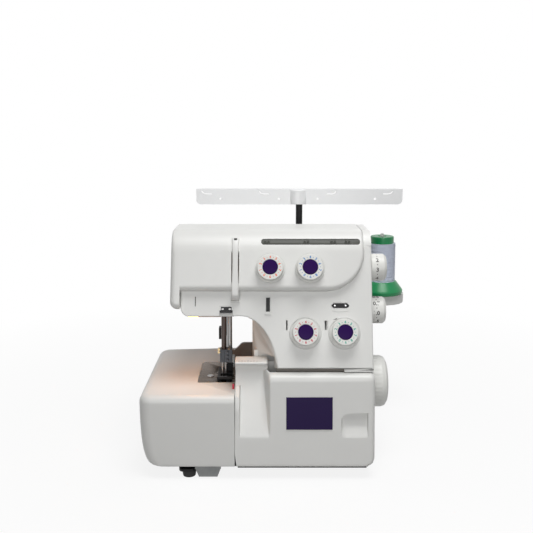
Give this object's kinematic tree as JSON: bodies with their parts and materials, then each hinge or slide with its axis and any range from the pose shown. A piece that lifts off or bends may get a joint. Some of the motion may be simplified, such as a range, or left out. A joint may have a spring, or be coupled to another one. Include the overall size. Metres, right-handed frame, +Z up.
{
  "type": "serger overlock machine",
  "caption": "Tabletop overlock sewing machine with tension dials, opening looper cover, sliding cloth plate, spool stand and telescopic thread guide.",
  "frame": {"origin": "on the ground, under the middle of the machine's whole outline", "axes": "+Z up, the dials face -Y, the handwheel is on the +X side"},
  "size_m": [0.3239, 0.244, 0.3045],
  "materials": {
    "white_plastic": "smooth semi-gloss",
    "black_plastic": "fine matte",
    "black_rubber": "matte",
    "cast_metal": "as cast, painted",
    "steel": "satin",
    "polished_steel": "polished",
    "grey_metal": "satin",
    "dark_steel": "blued",
    "violet_plastic": "semi-gloss",
    "green_plastic": "semi-gloss",
    "thread": "wound thread",
    "lamp_glass": "clear, lit warm"
  },
  "bodies": {
    "chassis": {"base_pan": "black_plastic", "rubber_feet": "black_rubber", "main_frame": "cast_metal", "front_panel": "white_plastic", "head_cover": "white_plastic", "rear_cover": "white_plastic", "right_cover": "white_plastic", "bed_guard": "black_plastic", "needle_plate": "polished_steel", "screws": "steel", "lower_knife": "steel", "lamp_bulb": "lamp_glass", "upper_thread_guide": "grey_metal", "take_up_cover": "white_plastic", "needle_thread_guide": "black_plastic", "looper_thread_guides": "black_plastic", "tension_posts": "steel", "tension_stacks": "steel", "spool_stand": "white_plastic", "spool_pins": "white_plastic", "guide_tube": "steel", "motor": "cast_metal", "drive_belt": "black_rubber", "power_inlet": "black_plastic", "cover_hinge_pin": "steel"},
    "cloth_plate": {"cloth_plate": "white_plastic"},
    "cover_carriage": {"cover_hinge_sleeves": "steel"},
    "cover": {"looper_cover": "white_plastic", "badge_plate": "violet_plastic"},
    "dial_1": {"tension_dial_1": "white_plastic", "dial_cap_1": "violet_plastic"},
    "dial_2": {"tension_dial_2": "white_plastic", "dial_cap_2": "violet_plastic"},
    "dial_3": {"tension_dial_3": "white_plastic", "dial_cap_3": "violet_plastic"},
    "dial_4": {"tension_dial_4": "white_plastic", "dial_cap_4": "violet_plastic"},
    "length_knob": {"stitch_length_knob": "white_plastic"},
    "ratio_knob": {"feed_ratio_knob": "white_plastic"},
    "drive": {"handwheel": "white_plastic", "main_shaft": "steel"},
    "motor_rotor": {"motor_pulley": "steel"},
    "needle_drive": {"needle_bar": "polished_steel", "needle_clamp": "dark_steel", "needles": "polished_steel"},
    "presser": {"presser_bar": "polished_steel"},
    "foot": {"presser_foot": "black_plastic"},
    "lifter": {"presser_lever": "black_plastic"},
    "upper_looper": {"upper_looper": "polished_steel"},
    "lower_looper": {"lower_looper": "polished_steel"},
    "upper_knife": {"upper_knife": "dark_steel"},
    "feed_dog": {"feed_dog": "steel"},
    "differential_feed_dog": {"differential_feed_dog": "steel"},
    "take_up": {"take_up_lever": "black_plastic"},
    "guide_mast": {"guide_rod": "black_plastic", "thread_guide_bar": "white_plastic"},
    "spool": {"thread_spool": "thread", "spool_caps": "green_plastic"},
    "switch": {"power_switch": "black_plastic"}
  },
  "joints": [
    {"name": "cloth_plate_slide", "type": "slide", "parent": "chassis", "child": "cloth_plate", "axis": [-1, 0, 0], "range_m": [0, 0.07]},
    {"name": "cover_slide", "type": "slide", "parent": "chassis", "child": "cover_carriage", "axis": [1, 0, 0], "range_m": [0, 0.005]},
    {"name": "cover_swing", "type": "hinge", "parent": "cover_carriage", "child": "cover", "pos_m": [0, -0.1145, 0.0225], "axis": [1, 0, 0], "range_deg": [0, 78]},
    {"name": "tension_dial_1_turn", "type": "hinge", "parent": "chassis", "child": "dial_1", "pos_m": [-0.0185, -0.08631, 0.2275], "axis": [0, -0.9272, 0.3746], "range_deg": [-133, 167]},
    {"name": "tension_dial_2_turn", "type": "hinge", "parent": "chassis", "child": "dial_2", "pos_m": [0.0253, -0.08631, 0.2275], "axis": [0, -0.9272, 0.3746], "range_deg": [-133, 167]},
    {"name": "tension_dial_3_turn", "type": "hinge", "parent": "chassis", "child": "dial_3", "pos_m": [0.0203, -0.09617, 0.1572], "axis": [0, -0.9272, 0.3746], "range_deg": [-133, 167]},
    {"name": "tension_dial_4_turn", "type": "hinge", "parent": "chassis", "child": "dial_4", "pos_m": [0.0634, -0.09617, 0.1572], "axis": [0, -0.9272, 0.3746], "range_deg": [-133, 167]},
    {"name": "stitch_length_turn", "type": "hinge", "parent": "chassis", "child": "length_knob", "pos_m": [0.095, -0.055, 0.2235], "axis": [1, 0, 0], "range_deg": [-60, 150]},
    {"name": "feed_ratio_turn", "type": "hinge", "parent": "chassis", "child": "ratio_knob", "pos_m": [0.095, -0.055, 0.1735], "axis": [1, 0, 0], "range_deg": [-100, 100]},
    {"name": "handwheel_spin", "type": "hinge", "parent": "chassis", "child": "drive", "pos_m": [0.095, -0.051, 0.0875], "axis": [1, 0, 0], "continuous": true},
    {"name": "motor_spin", "type": "hinge", "parent": "chassis", "child": "motor_rotor", "pos_m": [0.08, 0.006, 0.05], "axis": [1, 0, 0], "continuous": true},
    {"name": "needle_bar_slide", "type": "slide", "parent": "chassis", "child": "needle_drive", "axis": [0, 0, 1], "range_m": [-0.003, 0.024]},
    {"name": "presser_lever_lift", "type": "hinge", "parent": "chassis", "child": "lifter", "pos_m": [-0.07, 0.038, 0.195], "axis": [0, 1, 0], "range_deg": [0, 60]},
    {"name": "presser_bar_slide", "type": "slide", "parent": "chassis", "child": "presser", "axis": [0, 0, 1], "range_m": [0, 0.0055]},
    {"name": "presser_foot_tilt", "type": "hinge", "parent": "presser", "child": "foot", "pos_m": [-0.066, -0.044, 0.1045], "axis": [-1, 0, 0], "range_deg": [0, 8]},
    {"name": "upper_looper_slide", "type": "slide", "parent": "chassis", "child": "upper_looper", "axis": [-0.6, 0, 0.8], "range_m": [-0.004, 0.014]},
    {"name": "lower_looper_swing", "type": "hinge", "parent": "chassis", "child": "lower_looper", "pos_m": [-0.052, -0.057, 0.04], "axis": [0, 1, 0], "range_deg": [-5, 10]},
    {"name": "upper_knife_slide", "type": "slide", "parent": "chassis", "child": "upper_knife", "axis": [0, 0, 1], "range_m": [-0.007, 0.003]},
    {"name": "feed_dog_slide", "type": "slide", "parent": "chassis", "child": "feed_dog", "axis": [0, 1, 0], "range_m": [-0.0015, 0.0015]},
    {"name": "differential_feed_slide", "type": "slide", "parent": "chassis", "child": "differential_feed_dog", "axis": [0, 1, 0], "range_m": [-0.0015, 0.0015]},
    {"name": "take_up_swing", "type": "hinge", "parent": "chassis", "child": "take_up", "pos_m": [-0.057, -0.038, 0.235], "axis": [1, 0, 0], "range_deg": [-10, 10]},
    {"name": "guide_mast_slide", "type": "slide", "parent": "chassis", "child": "guide_mast", "axis": [0, 0, 1], "range_m": [0, 0.085]},
    {"name": "spool_spin", "type": "hinge", "parent": "chassis", "child": "spool", "pos_m": [0.13125, 0.083, 0.162], "axis": [0, 0, 1], "continuous": true},
    {"name": "switch_rock", "type": "hinge", "parent": "chassis", "child": "switch", "pos_m": [0.09, 0.01, 0.129], "axis": [0, 0, 1], "range_deg": [0, 9]}
  ],
  "couplings": [
    {"joint": "motor_spin", "follows": "handwheel_spin", "ratio": 1.75},
    {"joint": "presser_bar_slide", "follows": "presser_lever_lift", "m_per_rad": 0.0052521}
  ]
}
